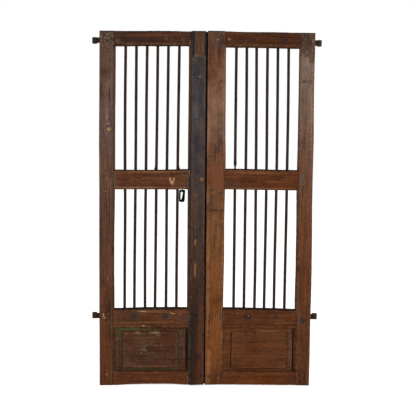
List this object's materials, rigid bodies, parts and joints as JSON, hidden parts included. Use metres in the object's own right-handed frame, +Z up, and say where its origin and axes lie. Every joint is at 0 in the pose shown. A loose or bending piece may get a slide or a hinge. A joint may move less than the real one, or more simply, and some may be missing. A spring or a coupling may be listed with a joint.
{
  "type": "jali door",
  "caption": "Double-leaf wooden door with upright iron bars over fielded panels, strap hinges on the back, a cover strip where the leaves meet and a hanging latch link.",
  "frame": {"origin": "midway between the leaves at the level of their lower edges, midway in depth between the front of the astragal nails and the tips of the eye spikes", "axes": "+X to the right as seen from the front, +Y away from the viewer through the doorway, +Z up"},
  "size_m": [1.1868, 0.1436, 1.83],
  "materials": {
    "frame_wood": "old reddish-brown oiled hardwood, worn and stained",
    "panel_wood": "old hardwood with remains of green paint",
    "peg_wood": "end grain, dark with dirt",
    "astragal_paint": "worn slate-black paint on brown wood",
    "bar_iron": "black forged iron with rust bloom",
    "hinge_iron": "forged iron, rusted brown",
    "nail_iron": "hammered, rusted",
    "latch_iron": "forged wire, dark and rubbed"
  },
  "bodies": {
    "frame_irons": {"left_upper_spike": "hinge_iron", "left_upper_pin": "hinge_iron", "left_lower_spike": "hinge_iron", "left_lower_pin": "hinge_iron", "right_upper_spike": "hinge_iron", "right_upper_pin": "hinge_iron", "right_lower_spike": "hinge_iron", "right_lower_pin": "hinge_iron"},
    "left_leaf": {"left_hinge_stile": "frame_wood", "left_meeting_stile": "frame_wood", "left_top_rail": "frame_wood", "left_mid_rail": "frame_wood", "left_lock_rail": "frame_wood", "left_bottom_rail": "frame_wood", "left_panel": "panel_wood", "left_pegs": "peg_wood", "left_bar_1": "bar_iron", "left_bar_2": "bar_iron", "left_bar_3": "bar_iron", "left_bar_4": "bar_iron", "left_bar_5": "bar_iron", "left_bar_6": "bar_iron", "left_upper_strap": "hinge_iron", "left_upper_strap_nails": "nail_iron", "left_lower_strap": "hinge_iron", "left_lower_strap_nails": "nail_iron", "astragal": "astragal_paint", "astragal_nails": "nail_iron", "latch_staple": "latch_iron"},
    "right_leaf": {"right_hinge_stile": "frame_wood", "right_meeting_stile": "frame_wood", "right_top_rail": "frame_wood", "right_mid_rail": "frame_wood", "right_lock_rail": "frame_wood", "right_bottom_rail": "frame_wood", "right_panel": "panel_wood", "right_pegs": "peg_wood", "right_bar_1": "bar_iron", "right_bar_2": "bar_iron", "right_bar_3": "bar_iron", "right_bar_4": "bar_iron", "right_bar_5": "bar_iron", "right_bar_6": "bar_iron", "right_upper_strap": "hinge_iron", "right_upper_strap_nails": "nail_iron", "right_lower_strap": "hinge_iron", "right_lower_strap_nails": "nail_iron"},
    "latch_link": {"latch_link": "latch_iron"}
  },
  "joints": [
    {"name": "left_leaf_swing", "type": "hinge", "parent": "frame_irons", "child": "left_leaf", "pos_m": [-0.5804, 0.00075, 0.356], "axis": [0, 0, -1], "range_deg": [0, 105]},
    {"name": "right_leaf_swing", "type": "hinge", "parent": "frame_irons", "child": "right_leaf", "pos_m": [0.5804, 0.00075, 0.356], "axis": [0, 0, 1], "range_deg": [0, 105]},
    {"name": "latch_link_swing", "type": "hinge", "parent": "left_leaf", "child": "latch_link", "pos_m": [-0.12413, -0.03175, 1.0174], "axis": [1, 0, 0], "range_deg": [-80, 80]}
  ]
}
